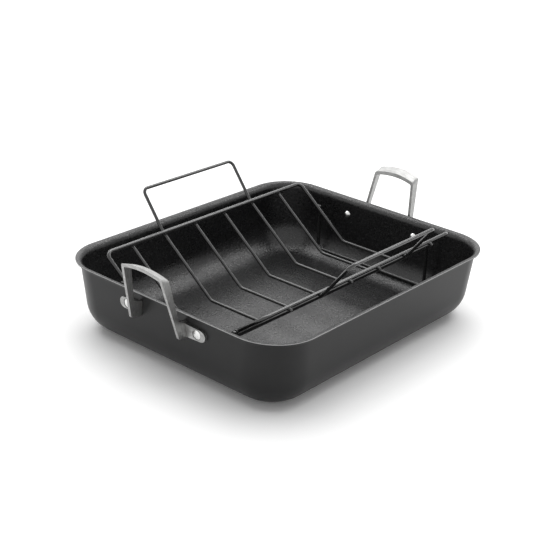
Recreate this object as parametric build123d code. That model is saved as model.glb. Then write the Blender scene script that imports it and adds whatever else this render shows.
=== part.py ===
from build123d import *
import math
import os

# Roasting pan with a lift-out rack, in millimetres.
# X runs along the pan, Y across it and Z up. The origin is the middle of the base.

# Pan shell
rim_length = 418.0
rim_width = 352.0
rim_corner_radius = 57.0
pan_height = 92.4
shell_thickness = 2.5
wall_draft = 4.0
base_curve_radius = 40.5
base_corner_radius = 55.5

# Rim, which flares outwards from the top of the wall
flare_radius = 6.0
flare_rise_angle = 10.0
flare_land = 0.4

# Cast handle: places are its outer edge, which faces away from the pan
grip_above_rim = 44.1
grip_crown = 4.8
grip_inner_crown = 3.6
grip_half_span = 31.2
grip_beyond_rim = 26.4
grip_width = 10.8
grip_tilt = 20.0
grip_corner_round = 4.0
grip_inner_round = 3.0
strap_thickness = 3.2
leg_foot_below_rim = 30.0
leg_foot_half_span = 40.7
leg_foot_off_wall = 15.0
leg_foot_width = 5.6
web_height = 20.0
web_drop = 2.5
leg_tip_round = 2.0
web_corner_round = 3.0

# Ear that carries the rivet
ear_thickness = 3.2
ear_root_height = 16.0
ear_tip_height = 14.0
ear_tip_beyond_rivet = 12.6
rivet_beyond_leg = 14.0
rivet_below_rim = 22.5

# Rivet
shank_diameter = 6.4
shank_clearance = 0.05
recess_diameter = 12.6
recess_depth = 1.3
outer_head_diameter = 10.8
outer_head_height = 1.5
outer_head_dome = 0.5
inner_head_diameter = 9.6
inner_head_height = 3.0

# Rack wires
frame_wire = 4.8
cross_wire = 4.2
foot_wire = 4.6
weld_sink = 0.2

# Rack frame
rack_end_gap = 26.1
rail_half_span = 122.2
rail_height = 102.6
trough_half_span = 41.5
trough_height = 40.6
rail_corner_radius = 9.0
trough_bend_radius = 9.0

# Cross wires and carry loop
end_bay = 43.6
cross_wire_count = 6
plain_end_wire_count = 1
wire_end_beyond_rail = 3.2
carry_bar_half_span = 162.5
carry_bar_height = 147.0
carry_bend_above_rail = 2.0
carry_corner_radius = 7.5
carry_knee_radius = 12.0

# Rack feet
foot_half_span = 89.0
foot_end_above_wing = 1.5
foot_splay = 2.0
foot_bend_radius = 9.0
seat_clearance = 0.3

# Spare length of a cutting tool past the face that it cuts
cut_overrun = 5.0


# Sizes worked out from those above

draft_slope = math.tan(math.radians(wall_draft))
wall_across = shell_thickness / math.cos(math.radians(wall_draft))


def unit(angle):
    """Direction at an angle in degrees above the outward horizontal."""
    return Vector(math.cos(math.radians(angle)), math.sin(math.radians(angle)))


def flare_point(start_out, radius, angle):
    """Point on the flare's arc where its direction has turned down to an angle."""
    start = unit(90.0 - wall_draft)
    now = unit(angle)
    return Vector(start_out + radius * (start.Y - now.Y), radius * (now.X - start.X))


def rim_outline():
    """Points of the rim's section, outwards and upwards from the top of the wall."""
    half_turn = (90.0 - wall_draft + flare_rise_angle) / 2
    land = unit(flare_rise_angle) * flare_land
    under_mid = flare_point(0, flare_radius, half_turn)
    under_end = flare_point(0, flare_radius, flare_rise_angle)
    over_mid = flare_point(-wall_across, flare_radius + shell_thickness, half_turn)
    over_end = flare_point(-wall_across, flare_radius + shell_thickness, flare_rise_angle)
    lip_middle = (under_end + over_end) / 2 + land
    lip_tip = lip_middle + unit(flare_rise_angle) * shell_thickness / 2
    return under_mid, under_end, under_end + land, lip_middle, lip_tip, over_end + land, over_end, over_mid


lip_middle = rim_outline()[3]
lip_overhang = lip_middle.X + shell_thickness / 2
wall_top = pan_height - lip_middle.Y - shell_thickness / 2
wall_half_length = rim_length / 2 - lip_overhang
wall_half_width = rim_width / 2 - lip_overhang
wall_corner_radius = rim_corner_radius - lip_overhang


def wall_reach(height):
    """Distance from the middle of the pan to the outside of its end wall."""
    return wall_half_length - (wall_top - height) * draft_slope


grip_corner_height = pan_height + grip_above_rim
grip_reach = rim_length / 2 + grip_beyond_rim
leg_foot_height = pan_height - leg_foot_below_rim
leg_foot_reach = wall_reach(leg_foot_height) + leg_foot_off_wall
leg_splay = (leg_foot_half_span - grip_half_span) / (grip_corner_height - leg_foot_height)
rivet_height = pan_height - rivet_below_rim
rivet_half_span = leg_foot_half_span + rivet_beyond_leg

rack_half_length = wall_half_length - rack_end_gap
cross_wire_pitch = 2 * (rack_half_length - end_bay) / (cross_wire_count - 1)
carry_wire_numbers = (1 + plain_end_wire_count, cross_wire_count - plain_end_wire_count)


# Pan shell


def rounded_face(height, inset):
    """Flat rounded rectangle inside the walls at a height, before the base is curved."""
    depth = wall_top - height
    pull_in = depth * draft_slope + inset
    corner_growth = (base_corner_radius - wall_corner_radius) * depth / wall_top
    with BuildSketch(Plane.XY.offset(height)) as outline:
        RectangleRounded(
            2 * (wall_half_length - pull_in),
            2 * (wall_half_width - pull_in),
            wall_corner_radius + corner_growth - inset,
        )
    return outline.sketch.faces()[0]


def tray_block(floor_height, inset):
    """Solid tray with drafted walls and a curved base, inset from the outside of the shell."""
    block = loft([rounded_face(floor_height, inset), rounded_face(wall_top, inset)], ruled=True)
    return fillet(block.edges().group_by(Axis.Z)[0], base_curve_radius - floor_height)


def rim_ring():
    """Flared rim, its section carried round the top of the wall."""
    path = rounded_face(wall_top, 0).outer_wire()
    outwards = (path % 0).cross(Vector(0, 0, 1))
    plane = Plane(path @ 0, x_dir=outwards, z_dir=outwards.cross(Vector(0, 0, 1)))
    under_mid, under_end, under_lip, _, lip_tip, over_lip, over_end, over_mid = rim_outline()
    wall_inside = (-wall_across, 0)
    with BuildSketch(plane) as section:
        with BuildLine():
            ThreePointArc((0, 0), under_mid, under_end)
            Line(under_end, under_lip)
            ThreePointArc(under_lip, lip_tip, over_lip)
            Line(over_lip, over_end)
            ThreePointArc(over_end, over_mid, wall_inside)
            Line(wall_inside, (0, 0))
        make_face()
    return sweep(section.sketch.faces()[0], path=path, transition=Transition.RIGHT)


def rivet_plane(end, side):
    """Plane on the outside of an end wall at a rivet: Z leaves the pan, X leaves the handle."""
    slope = math.radians(wall_draft)
    return Plane(
        (end * wall_reach(rivet_height), side * rivet_half_span, rivet_height),
        x_dir=(0, side, 0),
        z_dir=(end * math.cos(slope), 0, -math.sin(slope)),
    )


def rivet_hole():
    """Drill for one rivet, centred on the wall's outside."""
    return Cylinder(shank_diameter / 2 + shank_clearance, 2 * (ear_thickness + cut_overrun))


def pan_shell():
    """Tray with its floor, walls and rim, and a hole for each rivet."""
    shell = tray_block(0, 0) - tray_block(shell_thickness, wall_across) + rim_ring()
    for end in (-1, 1):
        for side in (-1, 1):
            shell -= rivet_plane(end, side) * rivet_hole()
    return shell


# Cast handle, drawn at the right end of the pan


def arch_face(inset, crown, corner_round):
    """Area under the handle's arch, seen from the end of the pan."""
    corner_y = grip_half_span - inset
    corner_z = grip_corner_height - inset
    low_z = leg_foot_height - web_height
    low_y = corner_y + leg_splay * (corner_z - low_z)
    with BuildSketch(Plane((grip_reach, 0, 0), x_dir=(0, 1, 0), z_dir=(1, 0, 0))) as area:
        with BuildLine():
            ThreePointArc((-corner_y, corner_z), (0, corner_z + crown), (corner_y, corner_z))
            Polyline((corner_y, corner_z), (low_y, low_z), (-low_y, low_z), (-corner_y, corner_z))
        make_face()
        fillet(area.vertices().group_by(Axis.Z)[-1], corner_round)
    return area.sketch.faces()[0]


def arch_solid(inset, crown, corner_round):
    """Arch carried towards the pan, falling with the tilt of the grip."""
    tilt = math.radians(grip_tilt)
    run = grip_reach - wall_half_length + cut_overrun
    area = arch_face(inset, crown, corner_round)
    return extrude(area, amount=run, dir=(-math.cos(tilt), 0, -math.sin(tilt)), both=True)


def strap_side():
    """Side view of the legs with the web that reaches the wall, through the handle's whole width."""
    rise = grip_corner_height - leg_foot_height
    outer_slope = (grip_reach - leg_foot_reach) / rise
    inner_top = grip_reach - grip_width
    inner_slope = (inner_top - leg_foot_reach + leg_foot_width) / rise
    above = grip_crown + cut_overrun
    web_top = leg_foot_height + web_height
    wall_high = web_top - web_drop
    wall_low = leg_foot_height - web_drop
    web_inner = (inner_top - inner_slope * (grip_corner_height - web_top), web_top)
    leg_tip = (leg_foot_reach, leg_foot_height)
    with BuildSketch(Plane.XZ) as side_view:
        with BuildLine():
            Polyline(
                leg_tip,
                (grip_reach + outer_slope * above, grip_corner_height + above),
                (inner_top + inner_slope * above, grip_corner_height + above),
                web_inner,
                (wall_reach(wall_high), wall_high),
                (wall_reach(wall_low), wall_low),
                leg_tip,
            )
        make_face()
        fillet(side_view.vertices().sort_by_distance(leg_tip)[0], leg_tip_round)
        fillet(side_view.vertices().sort_by_distance(web_inner)[0], web_corner_round)
    return extrude(side_view.sketch, amount=leg_foot_half_span + cut_overrun, both=True)


def leg_half_span(x, height):
    """Distance from the handle's middle to the outside of a leg, which sinks towards the pan."""
    level = height + (grip_reach - x) * math.tan(math.radians(grip_tilt))
    return grip_half_span + leg_splay * (grip_corner_height - level)


def ear(side):
    """Flat ear on the wall with a recess for the rivet's head."""
    leg_middle = leg_half_span(wall_reach(rivet_height), rivet_height) - strap_thickness / 2
    root = leg_middle - rivet_half_span
    tip_centre = ear_tip_beyond_rivet - ear_tip_height / 2
    with BuildSketch() as outline:
        with BuildLine():
            Line((root, ear_root_height / 2), (tip_centre, ear_tip_height / 2))
            ThreePointArc(
                (tip_centre, ear_tip_height / 2), (ear_tip_beyond_rivet, 0), (tip_centre, -ear_tip_height / 2)
            )
            Polyline(
                (tip_centre, -ear_tip_height / 2), (root, -ear_root_height / 2), (root, ear_root_height / 2)
            )
        make_face()
    plate = extrude(outline.sketch, amount=ear_thickness)
    recess = Pos(0, 0, ear_thickness - recess_depth) * Cylinder(
        recess_diameter / 2, recess_depth + cut_overrun, align=(Align.CENTER, Align.CENTER, Align.MIN)
    )
    return rivet_plane(1, side) * (plate - recess - rivet_hole())


def cast_handle():
    """Arched grip, two tapering legs with their webs, and two ears, as one casting."""
    arch = arch_solid(0, grip_crown, grip_corner_round)
    arch -= arch_solid(strap_thickness, grip_inner_crown, grip_inner_round)
    casting = arch & strap_side()
    return casting + ear(1) + ear(-1)


# Rivet


def rivet():
    """Flat head in the ear's recess, shank through ear and wall, domed head inside the pan."""
    seat = ear_thickness - recess_depth
    crown = seat + outer_head_height
    head_edge = outer_head_diameter / 2
    inner_edge = inner_head_diameter / 2
    shank = shank_diameter / 2
    inner_top = -shell_thickness - inner_head_height
    with BuildSketch(Plane.XZ) as half:
        with BuildLine():
            TangentArc((0, crown), (head_edge, crown - outer_head_dome), tangent=(1, 0))
            Polyline(
                (head_edge, crown - outer_head_dome),
                (head_edge, seat),
                (shank, seat),
                (shank, -shell_thickness),
                (inner_edge, -shell_thickness),
            )
            TangentArc((0, inner_top), (inner_edge, -shell_thickness), tangent=(1, 0))
            Line((0, inner_top), (0, crown))
        make_face()
    return revolve(half.sketch, axis=Axis.Z)


# Rack


def bent_wire(points, radii, diameter, closed):
    """Round wire along a line of straight runs and tangent bends."""
    path = FilletPolyline(*points, radius=radii, close=closed)
    section = Plane(path @ 0, z_dir=path % 0) * Circle(diameter / 2)
    return sweep(section, path=path)


wing_rise = rail_height - trough_height
wing_run = rail_half_span - trough_half_span
wing_angle = math.atan2(wing_rise, wing_run)
under_frame = (frame_wire + cross_wire) / 2 - weld_sink


def under_wing(x, side, beyond_rail):
    """Point on a wire that lies under the wing, measured along the wing past the rail."""
    y = rail_half_span + under_frame * math.sin(wing_angle) + beyond_rail * math.cos(wing_angle)
    z = rail_height - under_frame * math.cos(wing_angle) + beyond_rail * math.sin(wing_angle)
    return (x, side * y, z)


def under_trough(x, side):
    """Lower bend of a wire that lies under the frame."""
    y = trough_half_span + under_frame * math.tan(wing_angle / 2)
    return (x, side * y, trough_height - under_frame)


def rack_frame():
    """One closed wire: two rails and a V at each end."""
    points = []
    for x in (-rack_half_length, rack_half_length):
        side = 1 if x < 0 else -1
        points += [
            (x, -side * rail_half_span, rail_height),
            (x, -side * trough_half_span, trough_height),
            (x, side * trough_half_span, trough_height),
            (x, side * rail_half_span, rail_height),
        ]
    bends = [rail_corner_radius, trough_bend_radius, trough_bend_radius, rail_corner_radius]
    return bent_wire(points, bends * 2, frame_wire, True)


def wire_place(number):
    """Place along the rack of a cross wire, counted from the left end."""
    return (number - (cross_wire_count + 1) / 2) * cross_wire_pitch


def cross_v(number):
    """V wire under the frame whose ends stand out past the rails."""
    x = wire_place(number)
    points = [
        under_wing(x, 1, wire_end_beyond_rail),
        under_trough(x, 1),
        under_trough(x, -1),
        under_wing(x, -1, wire_end_beyond_rail),
    ]
    return bent_wire(points, [trough_bend_radius] * 2, cross_wire, False)


def carry_loop():
    """One closed wire: two V wires that rise past the rails into both rack handles."""
    points = []
    bends = []
    for number, order in zip(carry_wire_numbers, ((1, -1), (-1, 1))):
        x = wire_place(number)
        for place, side in enumerate(order):
            climb = [
                (x, side * carry_bar_half_span, carry_bar_height),
                under_wing(x, side, carry_bend_above_rail),
                under_trough(x, side),
            ]
            radii = [carry_corner_radius, carry_knee_radius, trough_bend_radius]
            points += climb if place == 0 else climb[::-1]
            bends += radii if place == 0 else radii[::-1]
    return bent_wire(points, bends, cross_wire, True)


def foot_height(x):
    """Height of a foot's axis where it rests on the curve at the end of the pan's floor."""
    half_bend = math.radians((90.0 - wall_draft) / 2)
    curve_centre = wall_reach(0) - base_curve_radius * math.tan(half_bend)
    reach = base_curve_radius - shell_thickness - foot_wire / 2 - seat_clearance
    past = max(x - curve_centre, 0)
    return base_curve_radius - math.sqrt(reach**2 - past**2)


def rack_foot(end):
    """U wire outside a V end: its legs are welded to the V's wings and lean out to the floor."""
    high_x = rack_half_length + (frame_wire + foot_wire) / 2 - weld_sink
    low_x = high_x + foot_splay
    low = foot_height(low_x)
    wing_height = trough_height + (foot_half_span - trough_half_span) * math.tan(wing_angle)
    high = wing_height + foot_end_above_wing
    points = [
        (end * high_x, foot_half_span, high),
        (end * low_x, foot_half_span, low),
        (end * low_x, -foot_half_span, low),
        (end * high_x, -foot_half_span, high),
    ]
    return bent_wire(points, [foot_bend_radius] * 2, foot_wire, False)


# Nodes, each written to its own file

nodes = {"pan_shell": pan_shell()}
right_handle = cast_handle()
nodes["right_handle"] = right_handle
nodes["left_handle"] = right_handle.rotate(Axis.Z, 180)
for end, end_name in ((-1, "left"), (1, "right")):
    for side, side_name in ((-1, "front"), (1, "back")):
        nodes[f"rivet_{end_name}_{side_name}"] = rivet_plane(end, side) * rivet()
nodes["rack_frame"] = rack_frame()
for number in range(1, cross_wire_count + 1):
    if number not in carry_wire_numbers:
        nodes[f"cross_wire_{number}"] = cross_v(number)
nodes["carry_loop"] = carry_loop()
nodes["left_foot"] = rack_foot(-1)
nodes["right_foot"] = rack_foot(1)

os.makedirs("parts", exist_ok=True)
for name, shape in nodes.items():
    export_step(shape, f"parts/{name}.step")
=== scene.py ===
"""Looks of a roasting pan with a lift-out wire rack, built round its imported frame.

The pan is hard-anodised outside and coated inside, its two handles are cast and brushed, and
the rack is coated wire. Every length is in metres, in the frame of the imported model.
"""

import logging
import math
from dataclasses import dataclass, field
from enum import Enum
from typing import Any, Optional, Sequence, Union

import bmesh
import bpy
import numpy as np
from mathutils import Matrix, Vector


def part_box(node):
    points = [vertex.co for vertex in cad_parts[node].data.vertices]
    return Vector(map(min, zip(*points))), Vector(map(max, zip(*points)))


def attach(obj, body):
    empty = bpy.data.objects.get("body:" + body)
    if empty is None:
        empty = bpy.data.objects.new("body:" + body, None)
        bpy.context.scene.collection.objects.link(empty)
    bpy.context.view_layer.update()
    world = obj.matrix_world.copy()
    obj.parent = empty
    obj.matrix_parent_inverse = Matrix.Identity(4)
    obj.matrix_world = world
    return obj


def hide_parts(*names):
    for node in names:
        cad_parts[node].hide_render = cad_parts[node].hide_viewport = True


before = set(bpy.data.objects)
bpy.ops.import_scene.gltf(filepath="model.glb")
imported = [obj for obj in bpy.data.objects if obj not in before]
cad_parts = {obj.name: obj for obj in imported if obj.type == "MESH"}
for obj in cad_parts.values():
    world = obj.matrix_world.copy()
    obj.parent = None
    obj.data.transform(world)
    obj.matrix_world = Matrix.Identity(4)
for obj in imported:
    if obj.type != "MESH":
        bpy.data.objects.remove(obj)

log = logging.getLogger("roasting_pan")
Array = np.ndarray
Number = Union[float, int, "Signal"]
Colour = tuple[float, float, float]
Owner = Union[bpy.types.Material, bpy.types.World]

# The millimetres in a metre, and the Mix node's sockets for two colours and their mixture.
MILLIMETRES = 1000.0
LOW_COLOUR, HIGH_COLOUR, MIXED_COLOUR = 6, 7, 2

# The middle value of a noise, and the rays by which something is looked at.
NOISE_MIDDLE = 0.5
LOOKING_RAYS = ("Is Camera Ray", "Is Glossy Ray", "Is Transmission Ray")

# How finely a wire's bend, its domed end and a weld bead are divided.
ARC_STEPS = 12
DOME_STEPS = 6
BEAD_RINGS = 7
BEAD_POINTS = 16

# A direction that no wire follows, from which its first sideways direction is worked out.
SKEW = (0.31, 0.52, 0.79)


class End(Enum):
    """The two short ends of the pan, and the way each lies along X."""

    LEFT = -1
    RIGHT = 1


class Side(Enum):
    """The two long sides of the pan, and the way each lies along Y."""

    FRONT = -1
    BACK = 1


class PanFace(Enum):
    """The finish slots of the pan shell."""

    OUTSIDE = 0
    INSIDE = 1


# Shader maths


class Signal:
    """A number that changes over a surface. Arithmetic on it adds Math nodes."""

    def __init__(self, graph: "Graph", socket: bpy.types.NodeSocket) -> None:
        """Wraps one output socket of a node in the graph."""
        self.graph = graph
        self.socket = socket

    def _math(self, operation: str, first: Number, second: Number) -> "Signal":
        """One Math node.

        Args:
            operation: The Math node's operation.
            first: Its first value.
            second: Its second value.

        Returns:
            The node's result.
        """
        node = self.graph.node(
            "ShaderNodeMath", {"operation": operation}, {0: first, 1: second}
        )
        return Signal(self.graph, node.outputs[0])

    def __add__(self, other: Number) -> "Signal":
        """self + other."""
        return self._math("ADD", self, other)

    __radd__ = __add__

    def __sub__(self, other: Number) -> "Signal":
        """self - other."""
        return self._math("SUBTRACT", self, other)

    def __rsub__(self, other: Number) -> "Signal":
        """other - self."""
        return self._math("SUBTRACT", other, self)

    def __mul__(self, other: Number) -> "Signal":
        """self * other."""
        return self._math("MULTIPLY", self, other)

    __rmul__ = __mul__

    def __pow__(self, other: Number) -> "Signal":
        """self to the power of other."""
        return self._math("POWER", self, other)

    def __rpow__(self, other: Number) -> "Signal":
        """other to the power of self."""
        return self._math("POWER", other, self)

    def larger(self, other: Number) -> "Signal":
        """The larger of self and other."""
        return self._math("MAXIMUM", self, other)

    def sway(self, size: float) -> "Signal":
        """size * (self - 0.5): noise made a change that leaves the mean where it is."""
        return size * (self - NOISE_MIDDLE)

    def ramp(self, low: float, high: float) -> "Signal":
        """A smooth step.

        Args:
            low: The value at which the step is still 0.
            high: The value from which the step is 1. It may be the lower of the two.

        Returns:
            0 to 1, with soft ends.
        """
        node = self.graph.node(
            "ShaderNodeMapRange",
            {"interpolation_type": "SMOOTHSTEP"},
            {"Value": self, "From Min": low, "From Max": high},
        )
        return Signal(self.graph, node.outputs["Result"])


class Graph:
    """The node tree of one material or sky, with one method that adds any node."""

    def __init__(self, name: str, sky: bool = False) -> None:
        """Makes a material, or a world for the sky, with nothing but its output in its tree.

        Args:
            name: The name of the material or world.
            sky: Whether it is a world.
        """
        self.owner: Owner = (bpy.data.worlds if sky else bpy.data.materials).new(name)
        self.owner.use_nodes = True
        self.tree = self.owner.node_tree
        self.tree.nodes.clear()
        self.output = self.node("ShaderNodeOutputWorld" if sky else "ShaderNodeOutputMaterial")

    def node(
        self,
        kind: str,
        settings: Optional[dict[str, Any]] = None,
        inputs: Optional[dict[Union[str, int], Any]] = None,
    ) -> bpy.types.Node:
        """Adds a node.

        Args:
            kind: The node's type.
            settings: Its properties, which are set first.
            inputs: A value, socket or Signal for each of its sockets, by name or number.

        Returns:
            The new node.
        """
        made = self.tree.nodes.new(kind)
        for key, value in (settings or {}).items():
            setattr(made, key, value)
        for key, value in (inputs or {}).items():
            socket = made.inputs[key]
            if isinstance(value, Signal):
                self.tree.links.new(value.socket, socket)
            elif isinstance(value, bpy.types.NodeSocket):
                self.tree.links.new(value, socket)
            else:
                socket.default_value = value
        return made

    def place(self, scale: Sequence[float] = (1.0, 1.0, 1.0)) -> bpy.types.NodeSocket:
        """Object coordinates in metres, stretched by a scale for each axis."""
        where = self.node("ShaderNodeTexCoord").outputs["Object"]
        return self.node("ShaderNodeMapping", {}, {"Vector": where, "Scale": scale}).outputs[0]

    def axis(self, letter: str) -> Signal:
        """One of the object coordinates, X, Y or Z, as a number."""
        split = self.node("ShaderNodeSeparateXYZ", {}, {0: self.place()})
        return Signal(self, split.outputs[letter])

    def mark(self, name: str) -> Signal:
        """A number that the mesh carries at its points, by the attribute's name."""
        carried = self.node("ShaderNodeAttribute", {"attribute_name": name})
        return Signal(self, carried.outputs["Fac"])

    def looked_at(self) -> Signal:
        """Whether the eye, a reflection or a look through glass meets the surface.

        Returns:
            1 where one of them does, and 0 for the light that the surface only passes on.
        """
        rays = self.node("ShaderNodeLightPath")
        looks = [Signal(self, rays.outputs[name]) for name in LOOKING_RAYS]
        return looks[0].larger(looks[1]).larger(looks[2])

    def grain(
        self,
        size: float,
        stretch: Sequence[float] = (1.0, 1.0, 1.0),
        detail: float = 2.0,
        roughness: float = 0.5,
    ) -> Signal:
        """Cloudy noise from 0 to 1.

        Args:
            size: The size of one cloud in metres.
            stretch: The scale of each axis. A small number draws the clouds out along it.
            detail: How many finer octaves are laid over it.
            roughness: How strong these are.

        Returns:
            The noise.
        """
        made = self.node(
            "ShaderNodeTexNoise",
            {},
            {
                "Vector": self.place(stretch),
                "Scale": 1.0 / size,
                "Detail": detail,
                "Roughness": roughness,
            },
        )
        return Signal(self, made.outputs["Fac"])

    def blend(self, share: Number, low: Any, high: Any) -> bpy.types.NodeSocket:
        """A colour between two others.

        Args:
            share: 0 for the low colour, 1 for the high one.
            low: A colour or a colour socket.
            high: A colour or a colour socket.

        Returns:
            The mixed colour's socket.
        """
        ends = [(*c, 1.0) if isinstance(c, tuple) else c for c in (low, high)]
        inputs = {0: share, LOW_COLOUR: ends[0], HIGH_COLOUR: ends[1]}
        return self.node("ShaderNodeMix", {"data_type": "RGBA"}, inputs).outputs[MIXED_COLOUR]

    def bump(self, height: Signal, depth: float) -> bpy.types.NodeSocket:
        """The surface normal over a relief.

        Args:
            height: The relief, from 0 to 1.
            depth: Its depth in metres.

        Returns:
            The normal's socket.
        """
        made = self.node(
            "ShaderNodeBump", {}, {"Strength": 1.0, "Distance": depth, "Height": height}
        )
        return made.outputs[0]

    def surface(self, **inputs: Any) -> Owner:
        """Ends the graph in a Principled surface. A _ stands for a space in a socket's name."""
        sockets = {key.replace("_", " "): value for key, value in inputs.items()}
        return self.end(self.node("ShaderNodeBsdfPrincipled", {}, sockets))

    def end(self, shader: bpy.types.Node) -> Owner:
        """Links the last shader to the output and gives the finished material or world."""
        self.tree.links.new(shader.outputs[0], self.output.inputs["Surface"])
        return self.owner


# Finishes


@dataclass(frozen=True)
class AnodisedFinish:
    """Hard-anodised aluminium: a dark grey satin with a very fine grain, scuffed at the foot, and
    with a bright line on the rim's lip that is partly wear and partly a painted highlight.
    """

    colour: Colour = (0.012, 0.012, 0.0125)
    cloud_colour: Colour = (0.016, 0.016, 0.0165)
    # Colour of the scuffed foot and of the lip's line, partly wear and partly a painted highlight.
    wear_and_highlight_colour: Colour = (0.85, 0.85, 0.85)
    roughness: float = 0.37
    gloss: float = 0.27
    cloud_size: float = 0.045
    cloud_edges: tuple[float, float] = (0.3, 0.7)
    cloud_sway: float = 0.08
    grain_size: float = 0.0007
    grain_depth: float = 0.000012
    grain_sway: float = 0.05
    lip_patch_size: float = 0.006
    lip_patch_least: float = 0.7
    foot_height: float = 0.0035
    scuff_size: float = 0.004
    scuff_edges: tuple[float, float] = (0.45, 0.7)
    scuff_share: float = 0.5
    wear_and_highlight_polish: float = 0.08

    def material(self) -> bpy.types.Material:
        """The pan's outside: cloudy grey, bright where the foot is scuffed and along the rim's
        lip, whose line is partly wear and partly a painted highlight.

        Returns:
            The material.
        """
        graph = Graph("hard_anodised")
        cloud = graph.grain(self.cloud_size, detail=3.0)
        fine = graph.grain(self.grain_size)
        patchy_lip_line = self.lip_patch_least + (1.0 - self.lip_patch_least) * graph.grain(self.lip_patch_size)
        scuffs = graph.grain(self.scuff_size).ramp(*self.scuff_edges) * self.scuff_share
        foot = graph.axis("Z").ramp(self.foot_height, 0.0) * scuffs
        # The lip's bright line, partly wear and partly a painted highlight, joined with the
        # scuffed foot.
        wear_and_highlight = (graph.mark("edge") * patchy_lip_line).larger(foot)
        sway = cloud.sway(self.cloud_sway) + fine.sway(self.grain_sway)
        base = graph.blend(cloud.ramp(*self.cloud_edges), self.colour, self.cloud_colour)
        return graph.surface(
            Base_Color=graph.blend(wear_and_highlight, base, self.wear_and_highlight_colour),
            Metallic=0.0,
            Roughness=self.roughness + sway - self.wear_and_highlight_polish * wear_and_highlight,
            Specular_IOR_Level=self.gloss,
            Normal=graph.bump(fine, self.grain_depth),
        )


@dataclass(frozen=True)
class NonstickFinish:
    """Baked nonstick coating: nearly black, with fine lighter flecks and a pebbled skin."""

    colour: Colour = (0.006, 0.006, 0.0063)
    fleck_colour: Colour = (0.038, 0.038, 0.039)
    # Colour of the lip's pale line, partly wear and partly a painted highlight.
    wear_and_highlight_colour: Colour = (0.16, 0.16, 0.16)
    roughness: float = 0.29
    gloss: float = 0.58
    fleck_size: float = 0.0018
    fleck_edges: tuple[float, float] = (0.55, 0.75)
    pebble_size: float = 0.0030
    pebble_depth: float = 0.00045
    pebble_sway: float = 0.20
    cloud_size: float = 0.030
    cloud_sway: float = 0.06

    def material(self) -> bpy.types.Material:
        """The pan's inside: pebbled and speckled, and paler along the lip, where the line is
        partly wear and partly a painted highlight.

        Returns:
            The material.
        """
        graph = Graph("nonstick_coating")
        fleck = graph.grain(self.fleck_size, detail=1.0)
        pebble = graph.grain(self.pebble_size, detail=3.0, roughness=0.6)
        cloud = graph.grain(self.cloud_size, detail=3.0)
        sway = pebble.sway(self.pebble_sway) + cloud.sway(self.cloud_sway)
        base = graph.blend(fleck.ramp(*self.fleck_edges), self.colour, self.fleck_colour)
        return graph.surface(
            # Paler along the lip: partly wear, partly a painted highlight.
            Base_Color=graph.blend(graph.mark("edge"), base, self.wear_and_highlight_colour),
            Metallic=0.0,
            Roughness=self.roughness + sway,
            Specular_IOR_Level=self.gloss,
            Normal=graph.bump(pebble, self.pebble_depth),
        )


@dataclass(frozen=True)
class CastFinish:
    """Cast stainless steel, brushed along the grip and finely pitted."""

    colour: Colour = (0.43, 0.43, 0.425)
    dull_colour: Colour = (0.28, 0.28, 0.275)
    roughness: float = 0.42
    streak_size: float = 0.0011
    streak_stretch: tuple[float, float, float] = (1.0, 0.10, 0.22)
    streak_edges: tuple[float, float] = (0.3, 0.7)
    streak_share: float = 0.7
    streak_depth: float = 0.000015
    streak_sway: float = 0.08
    pit_size: float = 0.0009
    cloud_size: float = 0.012
    cloud_sway: float = 0.08

    def material(self) -> bpy.types.Material:
        """The two handles: grey steel in drawn-out streaks.

        Returns:
            The material.
        """
        graph = Graph("brushed_casting")
        streak = graph.grain(self.streak_size, self.streak_stretch, detail=4.0, roughness=0.7)
        pit = graph.grain(self.pit_size)
        cloud = graph.grain(self.cloud_size)
        relief = self.streak_share * streak + (1.0 - self.streak_share) * pit
        sway = streak.sway(self.streak_sway) + cloud.sway(self.cloud_sway)
        tone = streak.ramp(*self.streak_edges)
        return graph.surface(
            Base_Color=graph.blend(tone, self.dull_colour, self.colour),
            Metallic=1.0,
            Roughness=self.roughness + sway,
            Normal=graph.bump(relief, self.streak_depth),
        )


@dataclass(frozen=True)
class TurnedFinish:
    """Bright rivet steel, with faint cloudy marks from being set."""

    colour: Colour = (0.78, 0.78, 0.77)
    marked_colour: Colour = (0.68, 0.68, 0.67)
    roughness: float = 0.22
    mark_size: float = 0.0012
    mark_depth: float = 0.00003
    mark_sway: float = 0.18

    def material(self) -> bpy.types.Material:
        """The rivets' heads: bright, with small marks.

        Returns:
            The material.
        """
        graph = Graph("rivet_steel")
        mark = graph.grain(self.mark_size, detail=3.0)
        return graph.surface(
            Base_Color=graph.blend(mark, self.marked_colour, self.colour),
            Metallic=1.0,
            Roughness=self.roughness + mark.sway(self.mark_sway),
            Normal=graph.bump(mark, self.mark_depth),
        )


@dataclass(frozen=True)
class CoatedWireFinish:
    """Glossy black coating over steel wire, with a slight orange-peel skin."""

    colour: Colour = (0.010, 0.010, 0.010)
    cloud_colour: Colour = (0.018, 0.018, 0.018)
    roughness: float = 0.17
    gloss: float = 0.55
    glaze: float = 0.4
    glaze_roughness: float = 0.08
    cloud_size: float = 0.02
    peel_size: float = 0.0022
    peel_depth: float = 0.000006
    peel_sway: float = 0.10

    def material(self) -> bpy.types.Material:
        """The rack's wires: black under a thin glaze.

        Returns:
            The material.
        """
        graph = Graph("coated_wire")
        peel = graph.grain(self.peel_size)
        cloud = graph.grain(self.cloud_size)
        return graph.surface(
            Base_Color=graph.blend(cloud, self.colour, self.cloud_colour),
            Metallic=0.0,
            Roughness=self.roughness + peel.sway(self.peel_sway),
            Specular_IOR_Level=self.gloss,
            Coat_Weight=self.glaze,
            Coat_Roughness=self.glaze_roughness,
            Normal=graph.bump(peel, self.peel_depth),
        )


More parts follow.
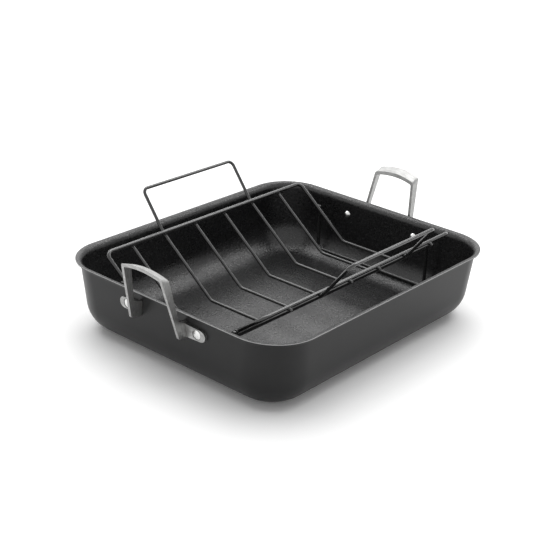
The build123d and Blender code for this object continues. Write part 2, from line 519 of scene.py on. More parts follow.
@dataclass(frozen=True)
class PaleFloorFinish:
    """White paper sweep: paler to the eye and in reflections than in the light it returns."""

    colour: Colour = (0.40, 0.40, 0.40)
    seen_colour: Colour = (1.0, 1.0, 1.0)
    seen_lift: float = 0.05
    near: float = 0.75
    far: float = 2.0

    def material(self) -> bpy.types.Material:
        """The floor: plain paper near the pan, fading to the backdrop's white further out.

        Where the eye or a reflection looks, its own light climbs from a faint lift to 1 as the
        distance from the pan, the root of x squared plus y squared, goes from near to far.

        Returns:
            The material.
        """
        graph = Graph("white_floor")
        seen = graph.looked_at()
        tone = graph.blend(seen, self.colour, self.seen_colour)
        paper = graph.node("ShaderNodeBsdfDiffuse", {}, {"Color": tone})
        away = (graph.axis("X") ** 2 + graph.axis("Y") ** 2) ** 0.5
        backdrop = away.ramp(self.near, self.far)
        lift = seen * (self.seen_lift + (1.0 - self.seen_lift) * backdrop)
        glow = graph.node("ShaderNodeEmission", {}, {"Strength": lift})
        both = {0: paper.outputs[0], 1: glow.outputs[0]}
        return graph.end(graph.node("ShaderNodeAddShader", {}, both))


# Meshes worked out as arrays


@dataclass
class Skin:
    """Points and faces gathered from one or more grids, to be made one piece."""

    points: list[Array] = field(default_factory=list)
    corners: list[Array] = field(default_factory=list)
    counts: list[Array] = field(default_factory=list)
    slots: list[Array] = field(default_factory=list)
    marks: list[Array] = field(default_factory=list)
    total: int = 0

    def add_closed_grid(
        self,
        grid: Array,
        start: Optional[Array] = None,
        stop: Optional[Array] = None,
        slot_of_row: Optional[Array] = None,
        mark_of_row: Optional[Array] = None,
    ) -> None:
        """Adds a closed skin: rings of points, each ring joined to the next.

        Point (i, j) of the grid is joined to (i, j+1), round the ring, and to (i+1, j). The
        rings at both ends close on a single point, or the last joins the first where no such
        point is given. The faces are turned so that the volume inside is above zero.

        Args:
            grid: Rings by points by 3.
            start: The point that closes the first ring.
            stop: The point that closes the last ring.
            slot_of_row: The material slot of the faces after each ring.
            mark_of_row: The number that each ring's points carry as the attribute "edge".
        """
        rings, around = grid.shape[:2]
        body = grid.reshape(-1, 3)
        number = np.arange(rings * around).reshape(rings, around)
        after = np.roll(number, -1, axis=1)
        capped = start is not None
        this_ring = np.stack([number, after], axis=-1)
        next_ring = np.roll(this_ring[..., ::-1], -1, axis=0)
        strips = rings - 1 if capped else rings
        quads = np.concatenate([this_ring, next_ring], axis=-1)[:strips].reshape(-1, 4)
        rows = np.repeat(np.arange(strips), around)
        slot = np.zeros(rings, int) if slot_of_row is None else slot_of_row
        mark = np.zeros(rings) if mark_of_row is None else mark_of_row
        slots = [slot[rows]]
        marks = [np.repeat(mark, around)]
        triangles = np.zeros((0, 3), int)
        if capped:
            first, last = len(body), len(body) + 1
            body = np.vstack([body, start, stop])
            foot = np.stack([np.full(around, first), after[0], number[0]], axis=-1)
            head = np.stack([np.full(around, last), number[-1], after[-1]], axis=-1)
            triangles = np.vstack([foot, head])
            slots.append(np.repeat(slot[[0, -1]], around))
            marks.append(mark[[0, -1]])
        halves = np.vstack([triangles, quads[:, [0, 1, 2]], quads[:, [0, 2, 3]]])
        a, b, c = (body[halves[:, k]] for k in range(3))
        if np.einsum("ij,ij->i", a, np.cross(b, c)).sum() < 0:
            quads, triangles = quads[:, ::-1], triangles[:, ::-1]
        self.points.append(body)
        self.corners += [quads.ravel() + self.total, triangles.ravel() + self.total]
        self.counts += [np.full(len(quads), 4), np.full(len(triangles), 3)]
        self.slots.append(np.concatenate(slots))
        self.marks.append(np.concatenate(marks))
        self.total += len(body)

    def piece(self, name: str, materials: Sequence[bpy.types.Material]) -> bpy.types.Object:
        """Makes the piece.

        Args:
            name: The piece's name.
            materials: The materials of its slots, in order.

        Returns:
            The new object, at the origin.
        """
        points = np.concatenate(self.points)
        corners = np.concatenate(self.corners)
        counts = np.concatenate(self.counts)
        mesh = bpy.data.meshes.new(name)
        mesh.vertices.add(len(points))
        mesh.vertices.foreach_set("co", points.astype(np.float32).ravel())
        mesh.loops.add(len(corners))
        mesh.loops.foreach_set("vertex_index", corners.astype(np.int32))
        mesh.polygons.add(len(counts))
        mesh.polygons.foreach_set("loop_start", (np.cumsum(counts) - counts).astype(np.int32))
        for material in materials:
            mesh.materials.append(material)
        mesh.polygons.foreach_set("material_index", np.concatenate(self.slots).astype(np.int32))
        edge = mesh.attributes.new("edge", "FLOAT", "POINT")
        edge.data.foreach_set("value", np.concatenate(self.marks).astype(np.float32))
        mesh.update(calc_edges=True)
        mesh.validate()
        mesh.shade_smooth()
        made = bpy.data.objects.new(name, mesh)
        bpy.context.scene.collection.objects.link(made)
        return made


def arc_of(centre: Array, across: Array, along: Array, turns: Array) -> Array:
    """Points centre + across cos(turn) + along sin(turn), for an array of turns."""
    return centre + np.cos(turns)[:, None] * across + np.sin(turns)[:, None] * along


@dataclass
class WirePath:
    """The middle line of a bent wire: its points, directions and a sideways direction at each."""

    points: Array
    ahead: Array
    sideways: Array
    closed: bool

    @classmethod
    def bent(
        cls, corners: Sequence[Sequence[float]], radii: Sequence[float], closed: bool, step: float
    ) -> "WirePath":
        """Straight runs joined by arcs that touch both runs.

        A corner that turns by t takes r tan(t/2) off each run. On its arc, after a turn u, the
        point is start + r sin(u) ahead + r (1 - cos(u)) inwards. The sideways direction turns
        with the arc round its axis, by Rodrigues' formula, so the wire isn't twisted.

        Args:
            corners: The corners, ends included.
            radii: The bend radius of each corner between two runs.
            closed: Whether the last corner joins the first.
            step: The length of one division of a run.

        Returns:
            The path.
        """
        at = np.array(corners, float)
        turned = at if closed else at[1:-1]
        before = np.roll(at, 1, axis=0) if closed else at[:-2]
        behind = np.roll(at, -1, axis=0) if closed else at[2:]
        come = turned - before
        come /= np.linalg.norm(come, axis=1)[:, None]
        leave = behind - turned
        leave /= np.linalg.norm(leave, axis=1)[:, None]
        angle = np.arccos(np.clip((come * leave).sum(1), -1, 1))
        cut = np.array(radii) * np.tan(angle / 2)
        starts = turned - come * cut[:, None]
        stops = turned + leave * cut[:, None]
        inward = leave - come * (come * leave).sum(1)[:, None]
        inward /= np.linalg.norm(inward, axis=1)[:, None]
        across = np.cross(come[0], SKEW)
        across /= np.linalg.norm(across)
        points, ahead, sideways = [], [], []
        run_from = stops[-1] if closed else at[0]
        for k in range(len(turned)):
            pieces = max(2, int(np.linalg.norm(starts[k] - run_from) / step))
            share = np.linspace(0, 1, pieces, endpoint=False)[:, None]
            points.append(run_from + (starts[k] - run_from) * share)
            ahead.append(np.tile(come[k], (pieces, 1)))
            sideways.append(np.tile(across, (pieces, 1)))
            turns = np.linspace(0, angle[k], ARC_STEPS + 1)
            reach = radii[k] * inward[k]
            points.append(arc_of(starts[k] + reach, -reach, radii[k] * come[k], turns)[:-1])
            ahead.append(arc_of(np.zeros(3), come[k], inward[k], turns)[:-1])
            pin = np.cross(come[k], inward[k])
            stay = pin * (pin @ across)
            swing = arc_of(stay, across - stay, np.cross(pin, across), turns)
            sideways.append(swing[:-1])
            across = swing[-1]
            run_from = stops[k]
        if not closed:
            pieces = max(2, int(np.linalg.norm(at[-1] - run_from) / step))
            share = np.linspace(0, 1, pieces + 1)[:, None]
            points.append(run_from + (at[-1] - run_from) * share)
            ahead.append(np.tile(leave[-1], (pieces + 1, 1)))
            sideways.append(np.tile(across, (pieces + 1, 1)))
        path = cls(np.vstack(points), np.vstack(ahead), np.vstack(sideways), closed)
        if closed:
            path.untwist(across)
        return path

    def untwist(self, last: Array) -> None:
        """Spreads the angle by which a closed wire comes back turned evenly along it.

        Args:
            last: The sideways direction with which the wire comes back to its start.
        """
        first, axis = self.sideways[0], self.ahead[0]
        gap = math.atan2(float(np.cross(last, first) @ axis), float(last @ first))
        turn = gap * np.arange(len(self.points)) / len(self.points)
        other = np.cross(self.ahead, self.sideways)
        self.sideways = np.cos(turn)[:, None] * self.sideways + np.sin(turn)[:, None] * other

    def wire(self, diameter: float, around: int = 20, dome: float = 0.45) -> Skin:
        """Makes the wire's skin: a circle carried along the path.

        Each ring is point + r cos(a) sideways + r sin(a) (ahead x sideways). An open wire ends
        in domes, whose rings shrink as r cos(b) while they go out to the tip by dome r sin(b).

        Args:
            diameter: The wire's diameter.
            around: The points in one ring.
            dome: The height of an end's dome, as a share of the radius.

        Returns:
            A skin with nothing but the wire.
        """
        radius = diameter / 2
        points, ahead, sideways = self.points, self.ahead, self.sideways
        sizes = np.full(len(points), radius)
        if not self.closed:
            bend = np.linspace(0, math.pi / 2, DOME_STEPS, endpoint=False)
            rise = dome * radius * (1 - np.sin(bend))[:, None]
            tail = (points[0] + ahead[0] * rise)[::-1]
            nose = points[-1] - ahead[-1] * rise
            shrink = radius * np.cos(bend)
            points = np.vstack([tail, points[1:-1], nose])
            repeats = np.ones(len(ahead), int)
            repeats[[0, -1]] = DOME_STEPS
            ahead = np.repeat(ahead, repeats, axis=0)
            sideways = np.repeat(sideways, repeats, axis=0)
            sizes = np.concatenate([shrink[::-1], sizes[1:-1], shrink])
        other = np.cross(ahead, sideways)
        turn = np.linspace(0, 2 * math.pi, around, endpoint=False)[:, None]
        round_it = np.cos(turn) * sideways[:, None] + np.sin(turn) * other[:, None]
        grid = points[:, None] + sizes[:, None, None] * round_it
        skin = Skin()
        if self.closed:
            skin.add_closed_grid(grid)
        else:
            skin.add_closed_grid(grid, self.points[0], self.points[-1])
        return skin


def weld_bead(skin: Skin, centre: Array, axes: Array) -> None:
    """Adds a small egg of weld metal, under the coating, where two wires cross.

    The point at latitude p and longitude q is centre + A cos(p) cos(q) + B cos(p) sin(q) +
    C sin(p), where A, B and C are the half axes.

    Args:
        skin: The skin that takes the bead.
        centre: Its middle.
        axes: Its three half axes, as rows.
    """
    latitude = np.linspace(-math.pi / 2, math.pi / 2, BEAD_RINGS + 2)[1:-1, None, None]
    longitude = np.linspace(0, 2 * math.pi, BEAD_POINTS, endpoint=False)[None, :, None]
    grid = (
        centre
        + axes[0] * np.cos(latitude) * np.cos(longitude)
        + axes[1] * np.cos(latitude) * np.sin(longitude)
        + axes[2] * np.sin(latitude)
    )
    skin.add_closed_grid(grid, centre - axes[2], centre + axes[2])


def seat(piece: bpy.types.Object, body: str, node: str) -> None:
    """Puts a piece in the frame in place of a CAD node.

    Args:
        piece: The finished piece.
        body: The body that it rides on.
        node: The CAD node that it stands for.
    """
    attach(piece, body)
    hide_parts(node)
    flat = np.zeros(len(piece.data.vertices) * 3, np.float32)
    piece.data.vertices.foreach_get("co", flat)
    points = flat.reshape(-1, 3)
    box = np.array([points.min(0), points.max(0)])
    off = float(np.abs(box - np.array(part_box(node))).max())
    log.info("%s: stands for %s, boxes within %.2f mm", piece.name, node, off * MILLIMETRES)


# Sub-assemblies


@dataclass
class PanShell:
    """The pan: drafted walls with rounded corners, a curved base edge and a flared rim."""

    rim_length: float = 0.418
    rim_width: float = 0.352
    rim_corner_radius: float = 0.057
    height: float = 0.0924
    thickness: float = 0.0025
    draft: float = math.radians(4.0)
    base_curve_radius: float = 0.0405
    base_corner_radius: float = 0.0555
    flare_radius: float = 0.006
    flare_rise: float = math.radians(10.0)
    flare_land: float = 0.0004
    # The lip's bright line: partly wear, partly a painted highlight where the lip faces up.
    lip_band_angle: float = math.radians(25.0)
    lip_band_width: float = 0.00042
    corner_steps: int = 28
    side_steps: int = 30
    flare_points: int = 12
    lip_points: int = 13
    outside_lip_points: int = 8
    floor_shares: tuple[float, ...] = (0.12, 0.3, 0.5, 0.7, 0.86, 0.95)
    base_curve_steps: int = 18
    wall_steps: int = 10

    def __post_init__(self) -> None:
        """Works out the wall's own sizes from those of the rim."""
        self.across = self.thickness / math.cos(self.draft)
        lip = self.rim_section()[1]
        overhang = lip[0] + self.thickness / 2
        self.wall_top = self.height - lip[1] - self.thickness / 2
        self.half_length = self.rim_length / 2 - overhang
        self.half_width = self.rim_width / 2 - overhang
        self.corner_radius = self.rim_corner_radius - overhang

    def rim_section(self) -> tuple[Array, Array]:
        """The rim's section, outwards and upwards from the outside of the wall's top.

        The underside turns from the wall's direction to the lip's on an arc: out by
        r (sin(start) - sin(now)) and up by r (cos(now) - cos(start)). The top side does so on
        an arc one thickness larger, and half a circle joins both round the lip.

        Returns:
            The section's points, and the middle of the lip's half circle.
        """
        start = math.pi / 2 - self.draft
        now = np.linspace(start, self.flare_rise, self.flare_points)
        flare = np.stack([math.sin(start) - np.sin(now), np.cos(now) - math.cos(start)], axis=1)
        under = self.flare_radius * flare
        over = (self.flare_radius + self.thickness) * flare
        over[:, 0] -= self.across
        away = np.array([math.cos(self.flare_rise), math.sin(self.flare_rise)])
        upright = np.array([-away[1], away[0]])
        land = away * self.flare_land
        middle = (under[-1] + over[-1]) / 2 + land
        turn = np.linspace(-math.pi / 2, math.pi / 2, self.lip_points)
        lip = arc_of(middle, away * self.thickness / 2, upright * self.thickness / 2, turn)
        return np.vstack([under, lip, over[::-1]]), middle

    def rim_wear_and_highlight(self) -> Array:
        """How bright each point of the rim's section is made, from 0 to 1: a thin line on the lip
        that is partly wear and partly a painted highlight where the lip faces the light.

        It is exp(-(d / w)^2), where d is the distance from the brightest point, which lies on
        the lip's half circle at a given angle above its tip, and w is the width.

        Returns:
            One number for each point of the section.
        """
        section, middle = self.rim_section()
        turn = self.flare_rise + self.lip_band_angle
        band_peak = middle + self.thickness / 2 * np.array([math.cos(turn), math.sin(turn)])
        return np.exp(-(((section - band_peak) ** 2).sum(1)) / self.lip_band_width**2)

    def outline(self) -> tuple[Array, Array]:
        """The rounded rectangle's stations: the share of the corner's centre and the normal.

        Returns:
            For each station, how far it lies towards a corner's centre in X and Y, from -1 to
            1, and its outward direction.
        """
        shares, normals = [], []
        signs = np.array([(1, 1), (-1, 1), (-1, -1), (1, -1)], float)
        for k in range(4):
            turn = (k + np.linspace(0, 1, self.corner_steps, endpoint=False)) * math.pi / 2
            normals.append(np.stack([np.cos(turn), np.sin(turn)], axis=1))
            shares.append(np.tile(signs[k], (self.corner_steps, 1)))
            walk = np.linspace(0, 1, self.side_steps, endpoint=False)[:, None]
            shares.append(signs[k] + (signs[(k + 1) % 4] - signs[k]) * walk)
            quarter = (k + 1) * math.pi / 2
            normals.append(np.tile([math.cos(quarter), math.sin(quarter)], (self.side_steps, 1)))
        return np.vstack(shares), np.vstack(normals)

    def ring(self, shares: Array, normals: Array, height: float, inset: float) -> Array:
        """The wall's flat outline at a height, before the base is curved.

        Each station is share x (half size - radius) + radius x normal. The half sizes shrink
        with the draft on the way down, while the corner's radius grows.

        Args:
            shares: The stations' shares of the corner's centre.
            normals: The stations' outward directions.
            height: The height above the floor that the pan stands on.
            inset: The distance inside the shell's outside.

        Returns:
            The stations' X and Y.
        """
        depth = self.wall_top - height
        pull = depth * math.tan(self.draft) + inset
        grown = (self.base_corner_radius - self.corner_radius) * depth / self.wall_top
        radius = self.corner_radius + grown - inset
        half = np.array([self.half_length - pull, self.half_width - pull]) - radius
        return shares * half + radius * normals

    def side_rings(self, floor: float, inset: float) -> Array:
        """Rings from the middle of the floor, round the base curve and up the wall.

        The base curve is a ball's track: at each station the wall leans out by an angle a, so
        the ball touches it at the height R (1 - sin a), and the curve's points are
        centre + R (cos(t) normal - sin(t) up), from t = 90 degrees on the floor to t = a.

        Args:
            floor: The height of the flat floor.
            inset: The distance inside the shell's outside.

        Returns:
            Rings by stations by 3, from the floor's middle upwards.
        """
        shares, normals = self.outline()
        low = self.ring(shares, normals, floor, inset)
        top = self.ring(shares, normals, self.wall_top, inset)
        rise = self.wall_top - floor
        lean = np.arctan(((top - low) * normals).sum(1) / rise)
        ball = self.base_curve_radius - floor
        touch = ball * (1 - np.sin(lean))
        contact = low + (top - low) * (touch / rise)[:, None]
        centre = contact - ball * np.cos(lean)[:, None] * normals
        flat = np.array(self.floor_shares)[:, None, None] * centre
        flat = np.dstack([flat, np.full(flat.shape[:2], floor)])
        share = np.linspace(0, 1, self.base_curve_steps + 1)[:, None]
        turn = math.pi / 2 + (lean - math.pi / 2) * share
        curve = centre + ball * np.cos(turn)[..., None] * normals
        curve = np.dstack([curve, floor + ball - ball * np.sin(turn)])
        climb = np.linspace(0, 1, self.wall_steps + 1)[1:-1, None]
        wall = contact + (top - contact) * climb[..., None]
        wall = np.dstack([wall, floor + touch + (rise - touch) * climb])
        return np.concatenate([flat, curve, wall])

    def rim_rings(self) -> Array:
        """The rim's section carried round the top of the wall, from under it to over it.

        A point of the section that lies out by u and up by v stands at wall top + u normal, at
        the height of the wall's top + v.

        Returns:
            Rings by stations by 3.
        """
        shares, normals = self.outline()
        top = self.ring(shares, normals, self.wall_top, 0.0)
        section = self.rim_section()[0]
        flat = top + section[:, :1, None] * normals
        return np.dstack([flat, np.full(flat.shape[:2], self.wall_top) + section[:, 1:]])

    def build(self, outside: bpy.types.Material, inside: bpy.types.Material) -> bpy.types.Object:
        """Makes the pan shell as one closed skin.

        Args:
            outside: The finish from the base up to the lip.
            inside: The finish from the lip down to the floor.

        Returns:
            The piece.
        """
        outer = self.side_rings(0.0, 0.0)
        rim = self.rim_rings()
        inner = self.side_rings(self.thickness, self.across)[::-1]
        rings = np.concatenate([outer, rim, inner])
        outside_rings = len(outer) + self.flare_points + self.outside_lip_points
        slots = np.full(len(rings), PanFace.INSIDE.value)
        slots[:outside_rings] = PanFace.OUTSIDE.value
        marks = np.zeros(len(rings))
        # The lip's bright line, partly wear and partly a painted highlight.
        marks[len(outer) : len(outer) + len(rim)] = self.rim_wear_and_highlight()
        skin = Skin()
        under, over = np.zeros(3), np.array([0.0, 0.0, self.thickness])
        skin.add_closed_grid(rings, under, over, slots, marks)
        piece = skin.piece("pan_body", [outside, inside])
        seat(piece, "pan", "pan_shell")
        return piece


@dataclass
class CastHandles:
    """The two cast handles, each its CAD casting with softened edges, and their rivets."""

    merge_distance: float = 0.000002
    flat_angle: float = math.radians(0.6)
    sharp_angle: float = math.radians(35.0)
    edge_angle: float = math.radians(28.0)
    edge_round: float = 0.0006
    edge_steps: int = 3

    def merge(self, mesh: bpy.types.Mesh) -> None:
        """Merges a copied CAD mesh's loose triangles and joins those that lie in one plane.

        Args:
            mesh: The copy, which is changed.
        """
        work = bmesh.new()
        work.from_mesh(mesh)
        bmesh.ops.remove_doubles(work, verts=work.verts, dist=self.merge_distance)
        bmesh.ops.dissolve_limit(
            work,
            angle_limit=self.flat_angle,
            verts=work.verts,
            edges=work.edges,
            use_dissolve_boundaries=False,
        )
        work.to_mesh(mesh)
        work.free()
        mesh.shade_smooth()
        mesh.set_sharp_from_angle(angle=self.sharp_angle)

    def build(self, end: End, finish: bpy.types.Material) -> bpy.types.Object:
        """Makes one handle.

        The casting's loose triangles are merged, its flat faces joined, and its sharp edges
        rounded as a casting's are.

        Args:
            end: The end of the pan that it is on.
            finish: Its finish.

        Returns:
            The piece.
        """
        node = f"{end.name.lower()}_handle"
        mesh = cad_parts[node].data.copy()
        mesh.name = f"{end.name.lower()}_casting"
        self.merge(mesh)
        mesh.materials.clear()
        mesh.materials.append(finish)
        piece = bpy.data.objects.new(mesh.name, mesh)
        bpy.context.scene.collection.objects.link(piece)
        bevel = piece.modifiers.new("cast_edges", "BEVEL")
        bevel.width = self.edge_round
        bevel.segments = self.edge_steps
        bevel.limit_method = "ANGLE"
        bevel.angle_limit = self.edge_angle
        bevel.harden_normals = False
        seat(piece, "pan", node)
        return piece

    def dress_rivets(self, end: End, finish: bpy.types.Material) -> None:
        """Gives the two rivets of one handle, which keep their CAD meshes, their finish.

        Args:
            end: The end of the pan that they are on.
            finish: Their finish.
        """
        for side in Side:
            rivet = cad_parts[f"rivet_{end.name.lower()}_{side.name.lower()}"]
            rivet.data.materials.clear()
            rivet.data.materials.append(finish)
            log.info("%s: dressed in %s", rivet.name, finish.name)


@dataclass
class WireRack:
    """The V shaped rack: a frame wire, six cross wires of which two rise as handles, two feet."""

    frame_wire: float = 0.0048
    cross_wire: float = 0.0042
    foot_wire: float = 0.0046
    weld_sink: float = 0.0002
    end_gap: float = 0.0261
    rail_half_span: float = 0.1222
    rail_height: float = 0.1026
    trough_half_span: float = 0.0415
    trough_height: float = 0.0406
    bend: float = 0.009
    end_bay: float = 0.0436
    wire_count: int = 6
    carry_numbers: tuple[int, int] = (2, 5)
    end_beyond_rail: float = 0.0032
    bar_half_span: float = 0.1625
    bar_height: float = 0.147
    bar_bend: float = 0.0075
    knee_bend: float = 0.012
    knee_above_rail: float = 0.002
    foot_half_span: float = 0.089
    foot_above_wing: float = 0.0015
    foot_splay: float = 0.002
    foot_clearance: float = 0.0003
    bead_half_length: float = 0.0031
    bead_half_width: float = 0.0030
    bead_half_height: float = 0.0015
    step: float = 0.004
    pan: PanShell = field(default_factory=PanShell)

    def __post_init__(self) -> None:
        """Works out the lean of the wings and the depth of the wires under the frame."""
        self.lean = math.atan2(
            self.rail_height - self.trough_height, self.rail_half_span - self.trough_half_span
        )
        self.under = (self.frame_wire + self.cross_wire) / 2 - self.weld_sink
        self.half_length = self.pan.half_length - self.end_gap
        self.pitch = 2 * (self.half_length - self.end_bay) / (self.wire_count - 1)

    def wing_point(self, x: float, side: int, beyond: float) -> tuple[float, float, float]:
        """A point on the line of a wire that lies under a wing of the frame.

        It is the rail's place, moved by the wires' distance square to the wing and downwards,
        and by the distance beyond the rail along the wing and upwards.

        Args:
            x: The wire's place.
            side: The side of the rack, -1 or 1.
            beyond: The distance past the rail.

        Returns:
            The point.
        """
        y = self.rail_half_span + self.under * math.sin(self.lean) + beyond * math.cos(self.lean)
        z = self.rail_height - self.under * math.cos(self.lean) + beyond * math.sin(self.lean)
        return (x, side * y, z)

    def trough_point(self, x: float, side: int) -> tuple[float, float, float]:
        """The lower bend of a wire that lies under the frame."""
        y = self.trough_half_span + self.under * math.tan(self.lean / 2)
        return (x, side * y, self.trough_height - self.under)

    def wire_x(self, number: int) -> float:
        """The place of a cross wire, counted from the left end."""
        return (number - (self.wire_count + 1) / 2) * self.pitch

    def frame_path(self) -> WirePath:
        """The frame: two rails and a V at each end, in one closed wire.

        Returns:
            Its middle line.
        """
        corners = []
        for x, side in ((-self.half_length, 1), (self.half_length, -1)):
            corners += [
                (x, -side * self.rail_half_span, self.rail_height),
                (x, -side * self.trough_half_span, self.trough_height),
                (x, side * self.trough_half_span, self.trough_height),
                (x, side * self.rail_half_span, self.rail_height),
            ]
        return WirePath.bent(corners, [self.bend] * len(corners), True, self.step)

    def cross_path(self, number: int) -> WirePath:
        """A cross wire, whose ends stand out past the rails.

        Args:
            number: The wire, counted from the left end.

        Returns:
            Its middle line.
        """
        x = self.wire_x(number)
        corners = [
            self.wing_point(x, 1, self.end_beyond_rail),
            self.trough_point(x, 1),
            self.trough_point(x, -1),
            self.wing_point(x, -1, self.end_beyond_rail),
        ]
        return WirePath.bent(corners, [self.bend] * 2, False, self.step)

    def carry_path(self) -> WirePath:
        """Two cross wires that rise past the rails into both rack handles, in one closed wire.

        Returns:
            Its middle line.
        """
        corners, radii = [], []
        for number, order in zip(self.carry_numbers, ((1, -1), (-1, 1))):
            x = self.wire_x(number)
            for place, side in enumerate(order):
                climb = [
                    (x, side * self.bar_half_span, self.bar_height),
                    self.wing_point(x, side, self.knee_above_rail),
                    self.trough_point(x, side),
                ]
                bends = [self.bar_bend, self.knee_bend, self.bend]
                corners += climb if place == 0 else climb[::-1]
                radii += bends if place == 0 else bends[::-1]
        return WirePath.bent(corners, radii, True, self.step)

    def foot_height(self, x: float) -> float:
        """The height of a foot's middle line where it rests on the curve at the floor's end.

        The curve is a quarter of a tube of radius R round a line at the height R. The foot's
        middle line stays R - wall - wire/2 - clearance from that line.

        Args:
            x: The distance from the middle of the pan.

        Returns:
            The height.
        """
        pan = self.pan
        foot = pan.half_length - pan.wall_top * math.tan(pan.draft)
        middle = foot - pan.base_curve_radius * math.tan((math.pi / 2 - pan.draft) / 2)
        reach = pan.base_curve_radius - pan.thickness - self.foot_wire / 2 - self.foot_clearance
        return pan.base_curve_radius - math.sqrt(reach**2 - max(x - middle, 0.0) ** 2)

    def foot_path(self, end: End) -> WirePath:
        """A foot: a U outside a V end, whose legs lean out to the curve of the pan's floor.

        Args:
            end: The end of the rack.

        Returns:
            Its middle line.
        """
        high_x = self.half_length + (self.frame_wire + self.foot_wire) / 2 - self.weld_sink
        low_x = high_x + self.foot_splay
        low = self.foot_height(low_x)
        climb = (self.foot_half_span - self.trough_half_span) * math.tan(self.lean)
        high = self.trough_height + climb + self.foot_above_wing
        corners = [
            (end.value * high_x, self.foot_half_span, high),
            (end.value * low_x, self.foot_half_span, low),
            (end.value * low_x, -self.foot_half_span, low),
            (end.value * high_x, -self.foot_half_span, high),
        ]
        return WirePath.bent(corners, [self.bend] * 2, False, self.step)

    def wing_directions(self, side: Side) -> tuple[Array, Array]:
        """The directions up along a wing of the V, and square to it, upwards and inwards.

        Args:
            side: The side of the rack.

        Returns:
            Both directions.
        """
        along = np.array([0.0, side.value * math.cos(self.lean), math.sin(self.lean)])
        off = np.array([0.0, -side.value * math.sin(self.lean), math.cos(self.lean)])
        return along, off

    def rail_welds(self, number: int, skin: Skin) -> None:
        """Adds the two beads by which a cross wire hangs on the rails.

        Args:
            number: The cross wire.
            skin: The skin that takes the beads.
        """
        x = self.wire_x(number)
        for side in Side:
            along, off = self.wing_directions(side)
            rail = np.array([x, side.value * self.rail_half_span, self.rail_height])
            across = np.array([self.bead_half_length, 0.0, 0.0])
            half_axes = [across, self.bead_half_width * along, -self.bead_half_height * off]
            weld_bead(skin, rail - off * (self.frame_wire / 2), np.array(half_axes))

    def foot_welds(self, end: End, skin: Skin) -> None:
        """Adds the two beads by which a foot hangs on the V at its end.

        Args:
            end: The end of the rack.
            skin: The skin that takes the beads.
        """
        x = end.value * (self.half_length + self.frame_wire / 2 - self.weld_sink / 2)
        climb = (self.foot_half_span - self.trough_half_span) * math.tan(self.lean)
        for side in Side:
            along, off = self.wing_directions(side)
            centre = np.array([x, side.value * self.foot_half_span, self.trough_height + climb])
            across = np.array([self.bead_half_height, 0.0, 0.0])
            half_axes = [self.bead_half_length * along, self.bead_half_width * off, across]
            weld_bead(skin, centre, np.array(half_axes))

    def build(self, coating: bpy.types.Material) -> None:
        """Makes the rack's wires and welds, and puts them on the rack's body.

        Args:
            coating: The finish of all of them.
        """
        skins = {
            "rack_frame": self.frame_path().wire(self.frame_wire),
            "carry_loop": self.carry_path().wire(self.cross_wire),
        }
        for number in range(1, self.wire_count + 1):
            node = "carry_loop"
            if number not in self.carry_numbers:
                node = f"cross_wire_{number}"
                skins[node] = self.cross_path(number).wire(self.cross_wire)
            self.rail_welds(number, skins[node])
        for end in End:
            node = f"{end.name.lower()}_foot"
            skins[node] = self.foot_path(end).wire(self.foot_wire)
            self.foot_welds(end, skins[node])
        for node, skin in skins.items():
            seat(skin.piece(f"{node}_coated", [coating]), "rack", node)


# Studio


@dataclass
class PhotoCamera:
    """The camera, placed by its turn round the object, its climb and its roll."""

    azimuth: float = math.radians(-50.05)
    elevation: float = math.radians(24.40)
    roll: float = math.radians(2.61)
    distance: float = 1.63131
    target: tuple[float, float, float] = (0.08867, 0.07841, 0.0)
    focal_pixels: float = 1219.26
    image_pixels: int = 558
    sensor_millimetres: float = 36.0
    far_clip: float = 50.0

    def build(self) -> bpy.types.Object:
        """Makes the scene's camera.

        Its back is (sin a cos e, -cos a cos e, sin e), its right (cos a, sin a, 0) and its up
        back x right. The roll turns right and up round back.

        Returns:
            The camera.
        """
        a, e, r = self.azimuth, self.elevation, self.roll
        back = Vector((math.sin(a) * math.cos(e), -math.cos(a) * math.cos(e), math.sin(e)))
        right = Vector((math.cos(a), math.sin(a), 0.0))
        up = back.cross(right)
        turned_right = right * math.cos(r) + up * math.sin(r)
        turned_up = up * math.cos(r) - right * math.sin(r)
        data = bpy.data.cameras.new("photo_camera")
        data.sensor_width = self.sensor_millimetres
        data.lens = self.focal_pixels / self.image_pixels * self.sensor_millimetres
        data.clip_end = self.far_clip
        camera = bpy.data.objects.new("photo_camera", data)
        turn = Matrix((turned_right, turned_up, back)).transposed().to_4x4()
        camera.matrix_world = Matrix.Translation(Vector(self.target) + back * self.distance) @ turn
        bpy.context.scene.collection.objects.link(camera)
        bpy.context.scene.camera = camera
        return camera


@dataclass(frozen=True)
class SoftBox:
    """A rectangular lamp that hangs at a place and faces a point.

    Its radiance is how bright its face is, where 1 is white. lights is whether it lights matt
    surfaces, and mirrored whether glossy surfaces show it.
    """

    name: str
    place: tuple[float, float, float]
    size: tuple[float, float]
    radiance: float
    aim: tuple[float, float, float] = (0.0, 0.0, 0.0)
    lights: bool = True
    mirrored: bool = True

    def hang(self) -> bpy.types.Object:
        """Makes the lamp. Its power is radiance x pi x area.

        Returns:
            The lamp.
        """
        data = bpy.data.lights.new(self.name, "AREA")
        data.shape = "RECTANGLE"
        data.size, data.size_y = self.size
        data.energy = self.radiance * math.pi * self.size[0] * self.size[1]
        lamp = bpy.data.objects.new(self.name, data)
        lamp.visible_diffuse, lamp.visible_glossy = self.lights, self.mirrored
        away = Vector(self.place) - Vector(self.aim)
        turn = away.to_track_quat("Z", "Y").to_matrix().to_4x4()
        lamp.matrix_world = Matrix.Translation(Vector(self.place)) @ turn
        bpy.context.scene.collection.objects.link(lamp)
        return lamp


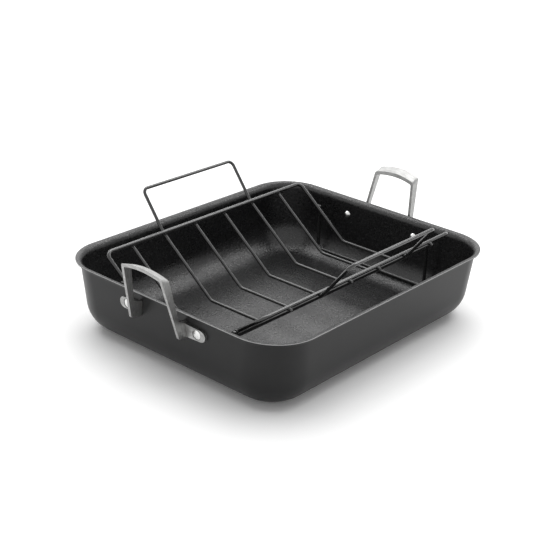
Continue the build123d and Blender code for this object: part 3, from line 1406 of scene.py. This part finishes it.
@dataclass
class Studio:
    """A white floor, a pale sky and large soft lamps."""

    floor_half: float = 6.0
    floor_points: int = 9
    sky_strength: float = 0.48
    lamps: tuple[SoftBox, ...] = (
        SoftBox("overhead", (0.634, 0.531, 2.88), (4.6, 4.2), 2.05, mirrored=False),
        SoftBox("strip", (0.54, 0.45, 1.36), (3.4, 0.30), 5.3, lights=False),
        SoftBox("back", (1.36, 1.28, 1.30), (1.50, 0.90), 1.7, aim=(0.0, 0.0, 0.03)),
    )

    def floor(self) -> None:
        """Lays the floor under the pan: points (x, y, 0) on a square grid, joined in quads."""
        count = self.floor_points
        span = np.linspace(-self.floor_half, self.floor_half, count)
        x, y = np.meshgrid(span, span, indexing="ij")
        points = np.stack([x, y, np.zeros_like(x)], axis=-1).reshape(-1, 3)
        number = np.arange(count * count).reshape(count, count)
        quads = np.stack(
            [number[:-1, :-1], number[1:, :-1], number[1:, 1:], number[:-1, 1:]], axis=-1
        ).reshape(-1, 4)
        mesh = bpy.data.meshes.new("floor")
        mesh.from_pydata(points.tolist(), [], quads.tolist())
        mesh.materials.append(PaleFloorFinish().material())
        laid = bpy.data.objects.new("floor", mesh)
        bpy.context.scene.collection.objects.link(laid)

    def sky(self) -> None:
        """Lights the scene evenly from all round.

        The eye and reflections see it as plain white: its strength is the sky's own where
        neither looks, and 1 where one does.
        """
        graph = Graph("studio_sky", sky=True)
        strength = self.sky_strength + (1.0 - self.sky_strength) * graph.looked_at()
        white = {"Color": (1.0, 1.0, 1.0, 1.0), "Strength": strength}
        bpy.context.scene.world = graph.end(graph.node("ShaderNodeBackground", {}, white))

    def build(self) -> None:
        """Sets up the floor, the sky and the lamps, and the plain view of colours."""
        bpy.context.scene.view_settings.view_transform = "Standard"
        self.floor()
        self.sky()
        for lamp in self.lamps:
            lamp.hang()


def main() -> None:
    logging.basicConfig(level=logging.INFO, format="%(name)s: %(message)s")
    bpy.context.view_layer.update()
    PhotoCamera().build()
    Studio().build()
    pan = PanShell()
    pan.build(AnodisedFinish().material(), NonstickFinish().material())
    handles = CastHandles()
    cast, turned = CastFinish().material(), TurnedFinish().material()
    for end in End:
        handles.build(end, cast)
        handles.dress_rivets(end, turned)
    WireRack(pan=pan).build(CoatedWireFinish().material())


if __name__ == "__main__":
    main()
